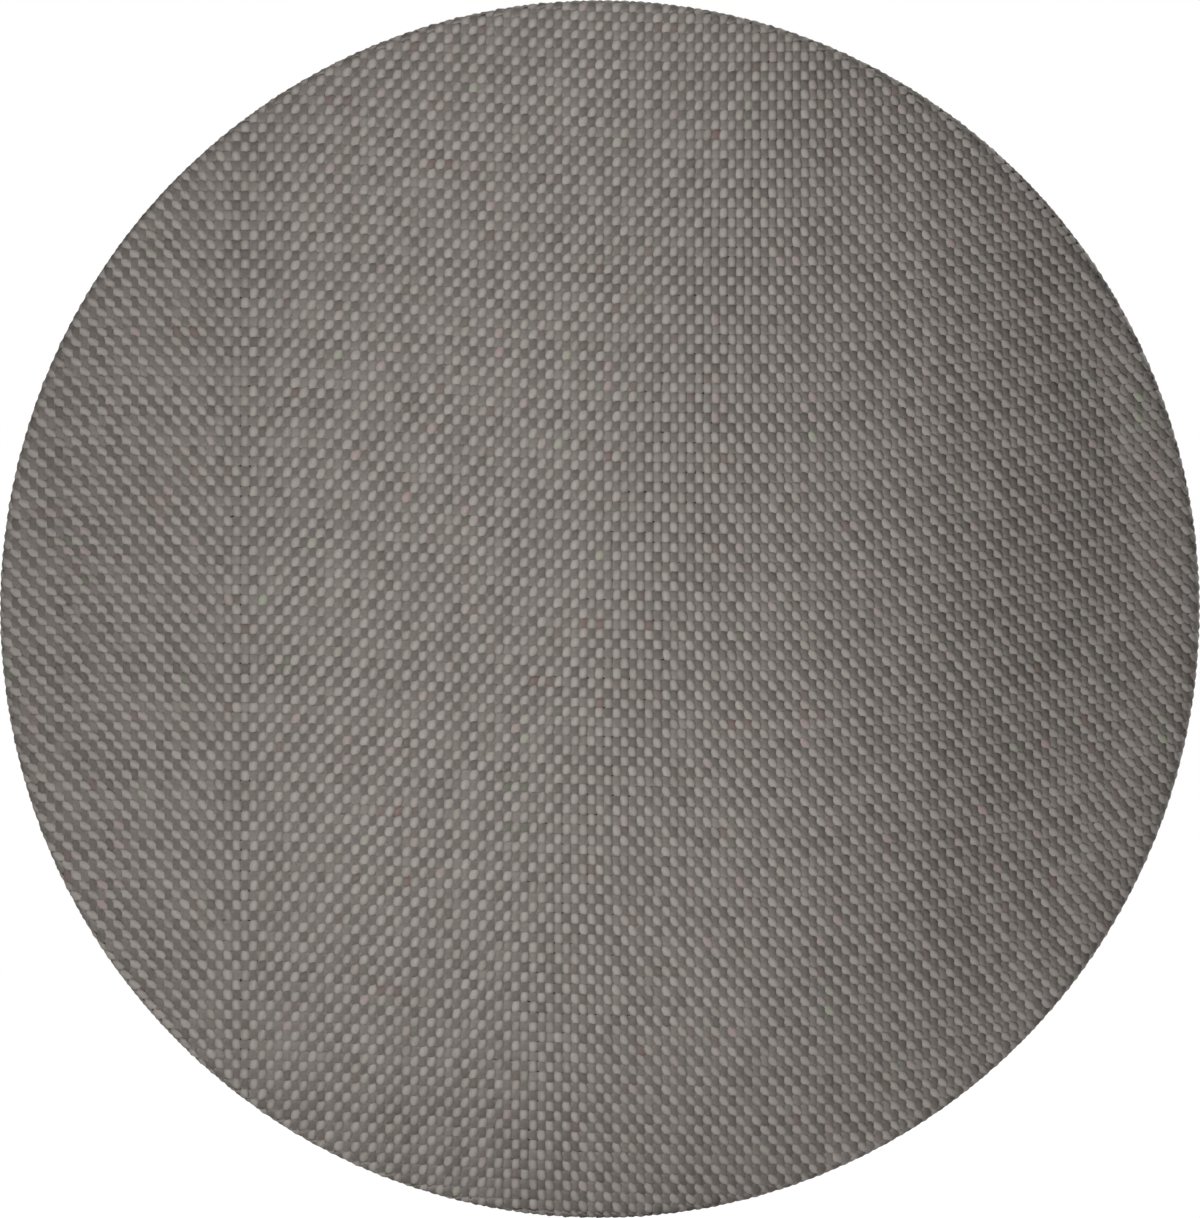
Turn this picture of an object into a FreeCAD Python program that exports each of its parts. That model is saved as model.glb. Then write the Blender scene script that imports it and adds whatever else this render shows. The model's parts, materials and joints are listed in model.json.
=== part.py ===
import FreeCAD, Part
import math
import os

from FreeCAD import Vector

# Collapsible backdrop panel. A coarse woven face cloth is stretched over a spring-steel hoop
# and turned over its rim. A black-out liner lies behind the face, a plain back cloth closes
# the panel, and a tape covers the back cloth's edge. A webbing tab with a wire ring hangs the
# panel up, and an elastic loop holds it when it is coiled.
#
# Millimetres. +X is to the right and +Z up as the face is looked at, and +Y is to the back.
# The origin is the middle of the face. The hoop is one elastic strip that bends anywhere, so
# for folding the panel is parted at four upright flex lines into five stretches: a spine in
# the middle, a narrow bend on each side of it, and a wing beyond each bend.

# Panel
panel_width = 300.0
panel_height = 304.5
rim_round = 2.4  # outside radius of the cloth over the hoop's edges

# Face cloth and liner
cloth_thick = 1.6
hem_width = 14.0  # how far the turned hem reaches in from the rim
liner_thick = 0.3
liner_inset = 6.0

# Back cloth, its edge tape and the blank label
back_thick = 0.5
back_inset = 6.0
tape_thick = 0.8
tape_inset = 3.0
tape_width = 9.0
label_width = 26.0
label_height = 14.0
label_thick = 0.3
label_gap = 8.0  # from the tape to the label

# Spring-steel hoop, and the sleeve that joins its ends
band_width = 3.5
band_thick = 0.7
band_room = 0.85  # from the cloth over the rim to the band
band_end_gap = 1.0
sleeve_length = 24.0
sleeve_wall = 0.4
sleeve_slip = 0.05
sleeve_room = 0.2  # from the sleeve to the face cloth and to the hem
rivet_spacing = 12.0
rivet_radius = 0.8
rivet_head_radius = 1.4
rivet_head_height = 0.5

# Hanging tab, folded over the bar of its ring and sewn down over a patch
webbing_thick = 1.2
tab_width = 20.0
tab_length = 15.0  # of the sewn plies, below the loop
tab_margin = 2.5  # from the tape's outer edge down to the loop
patch_border = 3.0  # of the patch round the tab
ring_wire = 3.0
ring_slip = 0.05
ring_side_gap = 3.0
ring_corner = 2.5
ring_drop = 6.0  # clear height from the tab's end to the ring's bow

# Elastic closing loop: both ends sewn on the tape, and the rest hanging as one loop
elastic_width = 10.0
elastic_thick = 1.0
elastic_hang = 70.0
elastic_eye = 5.0  # clear depth of the loop's lower end
elastic_gap = 2.0  # from the ring to the loop
elastic_sewn = 4.0  # how far below the fold line the plies stay together
elastic_margin = 1.5
elastic_clear = 0.3

# Stretches between the flex lines
spine_width = 88.0
bend_width = 32.0
flex_gap = 0.4

# The stretches from left to right, with their sides
inner_flex = spine_width / 2
outer_flex = inner_flex + bend_width
stretches = (
    ("left_wing", -panel_width, -outer_flex),
    ("left_bend", -outer_flex, -inner_flex),
    ("spine", -inner_flex, inner_flex),
    ("right_bend", inner_flex, outer_flex),
    ("right_wing", outer_flex, panel_width),
)

# Where the layers lie, from the face to the back of the turned hem and on to the tape
rim_depth = band_width + 2 * (sleeve_slip + sleeve_wall + sleeve_room + cloth_thick)
back_front = rim_depth
back_back = back_front + back_thick
tape_back = back_back + tape_thick
tape_inner = tape_inset + tape_width
band_middle = rim_depth / 2
band_outer = cloth_thick + band_room
band_inner = band_outer + band_thick
sleeve_outer = band_outer - sleeve_slip - sleeve_wall
sleeve_inner = band_inner + sleeve_slip + sleeve_wall


def outline(inset, y):
    """The rim's ellipse as seen from the front, moved in by inset, at depth y."""
    half_width = Vector(panel_width / 2 - inset, 0, 0)
    half_height = Vector(0, 0, panel_height / 2 - inset)
    middle = Vector(0, y, 0)
    minor, major = sorted((half_width, half_height), key=lambda half: half.Length)
    ellipse = Part.Ellipse(middle + major, middle + minor, middle)
    return Part.Wire(ellipse.toShape())


def rim_z(x, inset):
    """Height of the rim's upper half, moved in by inset, at x."""
    share = x / (panel_width / 2 - inset)
    return (panel_height / 2 - inset) * math.sqrt(1 - share * share)


def plate(inset, y_from, y_to):
    return Part.Face(outline(inset, y_from)).extrude(Vector(0, y_to - y_from, 0))


def ring(inset_outer, inset_inner, y_from, y_to):
    return plate(inset_outer, y_from, y_to).cut(plate(inset_inner, y_from, y_to))


def rounded(solid, radius):
    """The plate with both its rim edges rounded."""
    rim_edges = [edge for edge in solid.Edges if edge.isClosed()]
    return solid.makeFillet(radius, rim_edges)


def block(x_from, x_to, y_from, y_to, z_from, z_to):
    corner = Vector(x_from, y_from, z_from)
    return Part.makeBox(x_to - x_from, y_to - y_from, z_to - z_from, corner)


def bar(radius, x_from, x_to, y, z):
    """A round bar along X."""
    return Part.makeCylinder(radius, x_to - x_from, Vector(x_from, y, z), Vector(1, 0, 0))


def slab(x_from, x_to, corners):
    """A flat-sided piece along X, from its corners (y, z)."""
    points = [Vector(x_from, y, z) for y, z in corners]
    profile = Part.Face(Part.makePolygon([*points, points[0]]))
    return profile.extrude(Vector(x_to - x_from, 0, 0))


def within(shape, x_from, x_to, z_from=-panel_height, z_to=panel_height):
    """What of the shape lies between these sides."""
    return shape.common(block(x_from, x_to, -panel_width, panel_width, z_from, z_to))


def parted(shape):
    """Each stretch of the shape, by name, with half the gap cut off at each flex line."""
    half_gap = flex_gap / 2
    return {
        name: within(shape, x_from + half_gap, x_to - half_gap) for name, x_from, x_to in stretches
    }


def save(name, shape):
    """Writes the node, all its solids, and stops if one is broken."""
    solids = shape.Solids
    if not solids or not all(solid.isValid() and solid.Volume > 0 for solid in solids):
        raise SystemExit(f"{name} isn't one or more sound solids")
    node = solids[0] if len(solids) == 1 else Part.makeCompound(solids)
    node.exportStep(f"parts/{name}.step")
    volume = sum(solid.Volume for solid in solids)
    print(f"{name}: {len(solids)} solids, {volume:.1f} mm3")


def save_parted(name, shape):
    for stretch, piece in parted(shape).items():
        save(f"{name}_{stretch}", piece)


def save_band(name, shape):
    """A band round the rim: whole on a wing, and a top and a bottom piece on the rest."""
    for stretch, piece in parted(shape).items():
        if len(piece.Solids) == 1:
            save(f"{name}_{stretch}", piece)
        else:
            save(f"{name}_{stretch}_top", within(piece, -panel_width, panel_width, z_from=0))
            save(f"{name}_{stretch}_bottom", within(piece, -panel_width, panel_width, z_to=0))


def face_cloth():
    """The stretched face, the roll over the rim and the turned hem behind, as one skin."""
    skin = rounded(plate(0, 0, rim_depth), rim_round)
    cavity = plate(cloth_thick, cloth_thick, rim_depth - cloth_thick)
    cavity = rounded(cavity, max(rim_round - cloth_thick, cloth_thick / 4))
    mouth = plate(hem_width, rim_depth - 2 * cloth_thick, rim_depth + cloth_thick)
    save_parted("face_cloth", skin.cut(cavity).cut(mouth))


def liner():
    """The black-out scrim that lies against the back of the face cloth."""
    save_parted("liner", plate(liner_inset, cloth_thick, cloth_thick + liner_thick))


def back_panel():
    """The back cloth over the turned hem, and the tape over the back cloth's edge."""
    back_cloth = plate(back_inset, back_front, back_back)
    save_parted("back_cloth", back_cloth)
    tape = ring(tape_inset, tape_inner, back_front, tape_back).cut(back_cloth)
    save_band("edge_tape", tape)


def label():
    """The blank care label, sewn flat on the back cloth above its lower edge."""
    lower = label_gap - rim_z(0, tape_inner)
    half = label_width / 2
    save("care_label", block(-half, half, back_back, back_back + label_thick, lower, lower + label_height))


def rivet(x):
    """One rivet, flush outside the sleeve, with its head on the inside of the hoop."""
    top = -rim_z(x, sleeve_inner) + rivet_head_height
    length = sleeve_inner - sleeve_outer + 2 * rivet_head_height
    shank = Part.makeCylinder(rivet_radius, length, Vector(x, band_middle, top - length))
    shank = shank.common(plate(sleeve_outer, 0, rim_depth))
    head_root = Vector(x, band_middle, top - 2 * rivet_head_height)
    head = Part.makeCylinder(rivet_head_radius, 2 * rivet_head_height, head_root)
    head = head.common(plate(sleeve_inner, 0, rim_depth))
    return shank.fuse(head).removeSplitter()


def hoop():
    """The spring band, and the riveted sleeve at the bottom that joins its two ends."""
    half_band = band_width / 2
    half_slot = half_band + sleeve_slip
    half_sleeve = half_slot + sleeve_wall
    slot_outer, slot_inner = band_outer - sleeve_slip, band_inner + sleeve_slip
    band = ring(band_outer, band_inner, band_middle - half_band, band_middle + half_band)
    slot = ring(slot_outer, slot_inner, band_middle - half_slot, band_middle + half_slot)
    tube = ring(sleeve_outer, sleeve_inner, band_middle - half_sleeve, band_middle + half_sleeve)
    sleeve = within(tube.cut(slot), -sleeve_length / 2, sleeve_length / 2, z_to=0)
    rivets = Part.makeCompound([rivet(-rivet_spacing / 2), rivet(rivet_spacing / 2)])
    ends_gap = block(-band_end_gap / 2, band_end_gap / 2, 0, rim_depth, -panel_height, 0)
    save_band("hoop", band.cut(ends_gap).cut(rivets))
    save("joiner_sleeve", sleeve.cut(rivets))
    save("joiner_rivets", rivets)


# The ring's bar, which the tab's webbing loops round, and where the tab's plies end
wire_radius = ring_wire / 2
hole_radius = wire_radius + ring_slip
loop_radius = hole_radius + webbing_thick
plies_back = tape_back + 2 * webbing_thick
bar_y = tape_back + loop_radius
bar_z = rim_z(tab_width / 2, tape_inset) - tab_margin - loop_radius
plies_top = bar_z - 2 * loop_radius
tab_end = plies_top - tab_length
ring_reach = tab_width / 2 + ring_side_gap + wire_radius


def hang_tab():
    """Webbing folded over the ring's bar, its two plies sewn down together below it."""
    half = tab_width / 2
    first_back = tape_back + webbing_thick
    first = block(-half, half, tape_back, first_back, tab_end, bar_z)
    second = block(-half, half, first_back, plies_back, tab_end, plies_top)
    slant = slab(
        -half,
        half,
        (
            (bar_y + hole_radius, bar_z),
            (bar_y + loop_radius, bar_z),
            (plies_back, plies_top),
            (first_back, plies_top),
        ),
    )
    turn = bar(loop_radius, -half, half, bar_y, bar_z)
    turn = turn.common(block(-half, half, 0, panel_width, bar_z, bar_z + loop_radius))
    hole = bar(hole_radius, -half, half, bar_y, bar_z)
    save("hang_tab", first.fuse([second, slant, turn]).cut(hole).removeSplitter())


def tab_patch():
    """The patch under the tab, from the tape's inner edge down, that spreads its pull."""
    half = tab_width / 2 + patch_border
    patch = block(-half, half, back_back, tape_back, tab_end - patch_border, bar_z)
    save("tab_patch", patch.common(plate(tape_inner, back_back, tape_back)))


def hang_ring():
    """The D-shaped wire ring: a straight bar, two straight sides and a half-round bow."""
    side_top = bar_z - ring_corner
    side_end = tab_end - ring_drop - wire_radius + ring_reach
    turn = ring_corner * math.sqrt(0.5)

    def point(x, z):
        return Vector(x, bar_y, z)

    def corner(side):
        """From the bar round to the straight side."""
        centre_x = ring_reach - ring_corner
        bar_end = point(side * centre_x, bar_z)
        middle = point(side * (centre_x + turn), side_top + turn)
        side_start = point(side * ring_reach, side_top)
        return Part.Arc(bar_end, middle, side_start).toShape()

    bar_half = ring_reach - ring_corner
    ends = point(ring_reach, side_end), point(-ring_reach, side_end)
    bow = Part.Arc(ends[0], point(0, side_end - ring_reach), ends[1]).toShape()
    straight_bar = Part.makeLine(point(-bar_half, bar_z), point(bar_half, bar_z))
    sides = [Part.makeLine(point(end.x, side_top), end) for end in ends]
    path = Part.Wire(Part.__sortEdges__([straight_bar, *sides, corner(1), corner(-1), bow]))
    start = path.OrderedEdges[0]
    along = start.tangentAt(start.FirstParameter)
    section = Part.Circle(start.valueAt(start.FirstParameter), along, wire_radius)
    save("hang_ring", path.makePipeShell([Part.Wire(section.toShape())], True, False))


def closing_loop():
    """Two plies of elastic that part below the fold line and meet round the loop's eye."""
    inner = ring_reach + wire_radius + elastic_gap
    outer = inner + elastic_width
    fold = rim_z(outer, tape_inner) - elastic_margin
    anchor_top = rim_z(outer, tape_inset) - elastic_margin
    anchor_back = tape_back + 2 * elastic_thick
    save("loop_anchor", block(inner, outer, tape_back, anchor_back, fold, anchor_top))

    top = fold - elastic_clear
    parting = top - elastic_sewn
    eye = elastic_eye / 2
    bulb = eye + elastic_thick
    bulb_y, bulb_z = tape_back + bulb, top - elastic_hang + bulb
    lean = 2 * math.atan(eye / (parting - bulb_z))
    plies_y = tape_back + elastic_thick
    knee = parting + elastic_thick * math.tan(lean / 2)

    def profile(radius, straight):
        """The face bounded by the straight corners (y, z) and the eye's arc at this radius."""
        corners = [Vector(inner, y, z) for y, z in straight]
        far_end = Vector(inner, bulb_y + radius * math.cos(lean), bulb_z + radius * math.sin(lean))
        corners.append(far_end)
        lines = [Part.makeLine(first, second) for first, second in zip(corners, corners[1:])]
        arc = Part.Arc(far_end, Vector(inner, bulb_y, bulb_z - radius), corners[0])
        return Part.Face(Part.Wire([*lines, arc.toShape()]))

    front_end, anchor = (tape_back, bulb_z), (tape_back, top)
    outside = profile(bulb, (front_end, anchor, (anchor_back, top), (anchor_back, knee)))
    inside = profile(eye, ((plies_y, bulb_z), (plies_y, parting)))
    webbing = outside.cut(inside).extrude(Vector(elastic_width, 0, 0))
    save("closing_loop", webbing)


os.makedirs("parts", exist_ok=True)
face_cloth()
liner()
back_panel()
label()
hoop()
hang_tab()
tab_patch()
hang_ring()
closing_loop()
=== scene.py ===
import json
import math

import bmesh
import bpy
import numpy as np
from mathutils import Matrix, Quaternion, Vector


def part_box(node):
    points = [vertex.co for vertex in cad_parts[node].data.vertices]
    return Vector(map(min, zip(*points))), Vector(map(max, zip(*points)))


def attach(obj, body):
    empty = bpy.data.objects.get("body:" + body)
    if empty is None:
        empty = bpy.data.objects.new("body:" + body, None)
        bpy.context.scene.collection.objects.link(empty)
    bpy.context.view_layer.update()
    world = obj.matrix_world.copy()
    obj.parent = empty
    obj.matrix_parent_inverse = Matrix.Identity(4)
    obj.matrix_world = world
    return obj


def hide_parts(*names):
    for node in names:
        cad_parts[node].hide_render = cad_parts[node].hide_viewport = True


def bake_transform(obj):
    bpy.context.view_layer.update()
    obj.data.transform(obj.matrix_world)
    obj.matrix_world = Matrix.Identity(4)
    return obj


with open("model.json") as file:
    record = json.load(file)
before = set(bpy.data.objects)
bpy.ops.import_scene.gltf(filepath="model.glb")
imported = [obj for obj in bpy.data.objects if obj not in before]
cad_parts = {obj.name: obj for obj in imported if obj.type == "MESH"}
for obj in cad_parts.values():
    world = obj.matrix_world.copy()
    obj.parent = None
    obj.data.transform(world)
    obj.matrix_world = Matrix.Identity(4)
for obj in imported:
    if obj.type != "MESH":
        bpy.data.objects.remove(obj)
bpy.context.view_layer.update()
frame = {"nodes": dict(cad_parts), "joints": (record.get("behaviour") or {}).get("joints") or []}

# ----------------------------------------
# Camera
# A long lens square on to the middle of the face, which the panel's rim fills edge to edge.

camera_distance = 2.4
sensor_height = 24.0

rim_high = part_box("face_cloth_spine")[1]
half_height = rim_high.z
half_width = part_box("face_cloth_right_wing")[1].x
depth = rim_high.y

camera_data = bpy.data.cameras.new("camera")
camera = bpy.data.objects.new("camera", camera_data)
bpy.context.scene.collection.objects.link(camera)
camera.location = (0, depth / 2 - camera_distance, 0)
camera.rotation_euler = (math.pi / 2, 0, 0)
camera_data.sensor_fit = "VERTICAL"
camera_data.sensor_height = sensor_height
camera_data.lens = sensor_height * camera_distance / (2 * half_height)
camera_data.clip_end = 20
bpy.context.scene.camera = camera
bpy.context.scene.view_settings.view_transform = "Standard"

# ----------------------------------------
# Studio
# A pale floor that the rim stands on, a white surround, a long strip lamp and a small low one in
# front of the face, and broad soft lamps to its left and behind.

floor_half = 1.6
floor_gap = 0.0004
floor_grey = 0.9
floor_white = 0.93
floor_glow = 1.04
surround_light = 0.111


def new_nodes(owner):
    """The nodes and links of a material or world."""
    owner.use_nodes = True
    return owner.node_tree.nodes, owner.node_tree.links


def whiter_for(nodes, links, rays, share):
    """A value that is share for these kinds of ray, and 0 for the rest."""
    path = nodes.new("ShaderNodeLightPath")
    result = path.outputs[rays[0]]
    for ray in rays[1:]:
        either = nodes.new("ShaderNodeMath")
        either.operation = "MAXIMUM"
        links.new(result, either.inputs[0])
        links.new(path.outputs[ray], either.inputs[1])
        result = either.outputs[0]
    scaled = nodes.new("ShaderNodeMath")
    scaled.operation = "MULTIPLY"
    scaled.inputs[1].default_value = share
    links.new(result, scaled.inputs[0])
    return scaled.outputs[0]


surround = bpy.data.worlds.new("surround")
nodes, links = new_nodes(surround)
bpy.context.scene.world = surround
nodes["Background"].inputs["Color"].default_value = (1, 1, 1, 1)
nodes["Background"].inputs["Strength"].default_value = surround_light
white = nodes.new("ShaderNodeBackground")
white.inputs["Color"].default_value = (1, 1, 1, 1)
mix = nodes.new("ShaderNodeMixShader")
seen_white = whiter_for(nodes, links, ("Is Camera Ray", "Is Glossy Ray", "Is Transmission Ray"), 1)
links.new(seen_white, mix.inputs["Fac"])
links.new(nodes["Background"].outputs[0], mix.inputs[1])
links.new(white.outputs[0], mix.inputs[2])
links.new(mix.outputs[0], nodes["World Output"].inputs["Surface"])

floor_paint = bpy.data.materials.new("floor_paint")
nodes, links = new_nodes(floor_paint)
nodes["Principled BSDF"].inputs["Base Color"].default_value = (floor_grey,) * 3 + (1,)
nodes["Principled BSDF"].inputs["Roughness"].default_value = 0.9
glow = nodes.new("ShaderNodeEmission")
glow.inputs["Strength"].default_value = floor_glow
mix = nodes.new("ShaderNodeMixShader")
links.new(whiter_for(nodes, links, ("Is Camera Ray",), floor_white), mix.inputs["Fac"])
links.new(nodes["Principled BSDF"].outputs[0], mix.inputs[1])
links.new(glow.outputs[0], mix.inputs[2])
links.new(mix.outputs[0], nodes["Material Output"].inputs["Surface"])

floor_mesh = bpy.data.meshes.new("floor")
floor_z = -half_height - floor_gap
around = ((-1, -1), (1, -1), (1, 1), (-1, 1))
floor_corners = [(x * floor_half, y * floor_half, floor_z) for x, y in around]
floor_mesh.from_pydata(floor_corners, [], [(0, 1, 2, 3)])
floor_mesh.materials.append(floor_paint)
floor = bpy.data.objects.new("floor", floor_mesh)
bpy.context.scene.collection.objects.link(floor)


def soft_lamp(name, place, aim, width, height, lean, power):
    """A soft lamp at place, facing aim, and leaning clockwise by this many degrees."""
    data = bpy.data.lights.new(name, "AREA")
    data.shape = "RECTANGLE"
    data.size, data.size_y = width, height
    data.energy = power
    lamp = bpy.data.objects.new(name, data)
    lamp.location = place
    facing = (Vector(aim) - Vector(place)).to_track_quat("-Z", "Y")
    lamp.rotation_euler = (facing @ Quaternion((0, 0, 1), math.radians(-lean))).to_euler()
    bpy.context.scene.collection.objects.link(lamp)


soft_lamp("face_strip", (-0.041, -0.181, -0.02), (-0.041, 0, -0.02), 0.05, 1.0, 5.6, 1.01)
soft_lamp("low_lamp", (-0.045, -0.19, -0.13), (-0.045, 0, -0.13), 0.15, 0.04, 0, 0.075)
soft_lamp("left_lamp", (-1.6, -0.9, 0.2), (0, 0, 0), 0.6, 0.6, 0, 12.5)
soft_lamp("back_lamp", (1.5, 1.1, 1.3), (0, 0, 0), 0.6, 0.6, 0, 58)

# ----------------------------------------
# Face cloth
# Coarse plain weave: a pale soft-spun warp and a darker weft. It is stretched over the hoop,
# rolled over the rim and turned in behind, where the hem runs on under the edge tape.
# From here on, lengths are in millimetres until they are put into a mesh.

mm = 0.001
rim_x, rim_z, rim_y = half_width / mm, half_height / mm, depth / mm
warp_pitch = 2.07
weft_pitch = 2.46
warp_width = 2.2
warp_thick = 0.74
warp_fullness = 0.16
weft_width = 2.55
weft_thick = 0.66
weft_fullness = 0.1
cloth_middle = 0.8
rim_round = 2.4
hem_kept = 5.5
steps_per_crossing = 3
crossing_lift = (warp_thick + weft_thick) / 4
# float_edge_fade: how far a float's colour turns to its dip colour at its sides, which on the warp
# is painted shade.
float_edge_fade = 0.9
slub_depth = 0.45
slub_scale = 260.0
drift = 0.045
ripple_margin = 0.12

roll_radius = rim_round - cloth_middle
roll = roll_radius * math.pi / 2
side = rim_y - 2 * rim_round
cloth_past_rim = 2 * roll + side + hem_kept - rim_round

# Each float leans off its thread's run by up to about these. lean_shares gives the share of it
# at x on the middle line. From 60 mm left of the middle on, the pattern slants with height.
warp_lean = 0.95
weft_lean = 0.8
slant = 0.28
slant_from = -60
lean_shares = (
    (-118, 1.2),
    (-106, 0.95),
    (-84, -0.3),
    (-70, -0.38),
    (-12, -0.38),
    (10, 0),
    (30, 0.35),
    (70, 0.8),
    (130, 0.9),
)

# How the wefts slope, in degrees, at x
weft_slopes = ((-170, 5), (-110, 0), (-55, -3), (0, -2), (38, 0), (75, 4), (112, 7), (170, 8))

# How far the face turns to the left, in degrees, at x: its slow ripples
ripple_slopes = (
    (-150, -9),
    (-128, -11),
    (-112, 0),
    (-96, 9),
    (-80, 4),
    (-60, -2),
    (-38, -5),
    (-12, 1),
    (4, 4),
    (24, -3),
    (46, 3),
    (62, 1),
    (88, -4),
    (112, -8),
    (128, 2),
    (150, 9),
)

# The panel bends in four zones, two each side of the middle: the bodies that each bends between,
# its sides, and where its bend begins and ends.
flex = {joint["name"]: joint["pos_m"][0] / mm for joint in frame["joints"]}
bend_middle = (flex["right_fold"] + flex["right_outer_fold"]) / 2
bend_start = 2 * flex["right_fold"] - bend_middle
bend_end = 2 * flex["right_outer_fold"] - bend_middle
far = 2 * rim_x
zones = {
    "left_outer": (("left_bend", "left_wing"), (-far, -bend_middle), (-bend_middle, -bend_end)),
    "left_inner": (("spine", "left_bend"), (-bend_middle, 0), (-bend_start, -bend_middle)),
    "right_inner": (("spine", "right_bend"), (0, bend_middle), (bend_start, bend_middle)),
    "right_outer": (("right_bend", "right_wing"), (bend_middle, far), (bend_middle, bend_end)),
}


def bend_with_panel(piece):
    """Bakes the piece's place into its mesh."""
    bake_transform(piece)


def stand_for(piece, zone, cloth):
    """Bakes a piece of this cloth in this zone into its mesh, and hides the frame's nodes in its
    place.
    """
    bend_with_panel(piece)
    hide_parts(*(f"{cloth}_{stretch}" for stretch in reversed(zones[zone][0])))


def added_up(slopes, x):
    """The height at x of a curve that is 0 at 0 and has these slopes, smoothed."""
    at = np.linspace(-far, far, 1201)
    smooth_over = 41
    slope = np.pad(np.interp(at, *zip(*slopes)), smooth_over // 2, "edge")
    slope = np.convolve(slope, np.ones(smooth_over) / smooth_over, "valid")
    rise = np.cumsum(np.tan(np.radians(slope))) * (at[1] - at[0])
    return np.interp(x, at, rise - np.interp(0, at, rise))


def slanted(x, z):
    """x, shifted with height where the cloth's pattern slants."""
    return x - slant * z * np.clip(1 - x / slant_from, 0, 1)


def lean_share(x, z):
    """The share of the full lean that the floats have at x and z. Below 0 they lean the other
    way."""
    return np.interp(slanted(x, z), *zip(*lean_shares))


def ripple(x, z):
    """Height of the stretched face's slow ripples, towards the viewer."""
    share = np.hypot(x / rim_x, z / rim_z)
    held = np.clip((1 - share) / ripple_margin, 0, 1)
    return added_up(ripple_slopes, slanted(x, z)) * held * held * (3 - 2 * held)


def on_panel(flat_x, flat_z, lift):
    """Where a point of the flat cloth lies, lifted off the cloth's middle, and its way out."""
    reach = np.maximum(np.hypot(flat_x, flat_z), 1e-6)
    share = np.maximum(np.hypot(flat_x / rim_x, flat_z / rim_z), 1e-6)
    roll_start = reach / share - rim_round
    past = reach - roll_start
    beyond = np.maximum(past, 0)
    turn = np.clip(beyond / roll_radius, 0, math.pi / 2)
    turn += np.clip((beyond - roll - side) / roll_radius, 0, math.pi / 2)
    down = np.clip(beyond - roll, 0, side)
    inward = np.maximum(beyond - 2 * roll - side, 0)
    radial = roll_start + np.minimum(past, 0) + (roll_radius + lift) * np.sin(turn) - inward
    along_x, along_z = flat_x / reach, flat_z / reach
    x, z = along_x * radial, along_z * radial
    y = rim_round + down - (roll_radius + lift) * np.cos(turn) - np.where(past < 0, ripple(x, z), 0)
    out = np.stack((along_x * np.sin(turn), -np.cos(turn), along_z * np.sin(turn)), -1)
    return np.stack((x, y, z), -1), out


rng = np.random.default_rng(11)
spare_warps, spare_wefts = 10, 14
warp_count = int(2 * (rim_x + cloth_past_rim) / warp_pitch) + spare_warps
weft_count = int(2 * (rim_z + cloth_past_rim) / weft_pitch) + spare_wefts
uneven_gaps = 0.03
drift_lengths = (5, 30)
thread_tones, float_tones = 0.25, 0.7


def thread_places(count, pitch, tighter):
    """Places of the threads, a little uneven, and closer together towards the high end."""
    index = np.arange(count) - (count - 1) / 2
    gaps = pitch * (1 + tighter * np.clip(2 * index / count, -0.4, 1))
    gaps = gaps * rng.normal(1, uneven_gaps, count)
    places = np.cumsum(gaps)
    return places - np.interp(0, index, places)


warp_x = thread_places(warp_count, warp_pitch, -0.07)
weft_z = thread_places(weft_count, weft_pitch, -0.02)


def thread_paths(places, cross_places, over):
    """Each thread's run across the others: places along and across it, lift, tone, tint and
    lean, which is 0 at the middle of each float and turns over there. over is 1 for the set
    that comes to the front where the two thread numbers add up even."""
    count, crossings = len(places), len(cross_places)
    at = np.arange((crossings - 1) * steps_per_crossing + 1) / steps_per_crossing
    along = np.interp(at, np.arange(crossings), cross_places)[None, :].repeat(count, 0)
    phase = rng.uniform(0, 2 * math.pi, (4, count, 1))
    length = rng.uniform(*drift_lengths, (4, count, 1))
    across = places[:, None] + drift * np.sin(2 * math.pi * at / length + phase).sum(0)
    parity = over * (-1.0) ** np.arange(count)[:, None]
    lift = parity * np.cos(math.pi * at)[None, :]
    lean = parity * np.sin(math.pi * at)[None, :]
    nearest = np.rint(at).astype(int)
    thread_tone = rng.normal(0, thread_tones, (count, 1))
    tone = thread_tone + rng.normal(0, float_tones, (count, crossings))[:, nearest]
    stretch = rng.normal(0, 1, (count, crossings // 3 + 2))
    tint = stretch[:, (nearest + 1) // 3] + 0.5 * rng.normal(0, 1, (count, crossings))[:, nearest]
    return along, across, lift, tone, tint, lean


def node_chain(tree, *steps):
    """New nodes, each given as a type or as a type and its input values."""
    made = []
    for step in steps:
        kind, values = step if isinstance(step, tuple) else (step, {})
        node = tree.nodes.new(kind)
        for key, value in values.items():
            if key in node.inputs:
                node.inputs[key].default_value = value
            else:
                setattr(node, key, value)
        made.append(node)
    return made


def new_tree(name, numbers, result):
    """A Geometry Nodes tree with a geometry, named numbers and a material going in."""
    tree = bpy.data.node_groups.new(name, "GeometryNodeTree")
    tree.interface.new_socket("Paths", in_out="INPUT", socket_type="NodeSocketGeometry")
    for number in numbers:
        tree.interface.new_socket(number, in_out="INPUT", socket_type="NodeSocketFloat")
    tree.interface.new_socket("Material", in_out="INPUT", socket_type="NodeSocketMaterial")
    tree.interface.new_socket(result, in_out="OUTPUT", socket_type="NodeSocketGeometry")
    return tree


def finish_tree(tree, given, geometry):
    """Ends a tree: smooth faces, real instances and the given material."""
    smooth, real, finish, result = node_chain(
        tree,
        "GeometryNodeSetShadeSmooth",
        "GeometryNodeRealizeInstances",
        "GeometryNodeSetMaterial",
        "NodeGroupOutput",
    )
    tree.links.new(geometry, smooth.inputs["Geometry"])
    tree.links.new(smooth.outputs[0], real.inputs["Geometry"])
    tree.links.new(real.outputs[0], finish.inputs["Geometry"])
    tree.links.new(given.outputs["Material"], finish.inputs["Material"])
    tree.links.new(finish.outputs[0], result.inputs[0])


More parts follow.
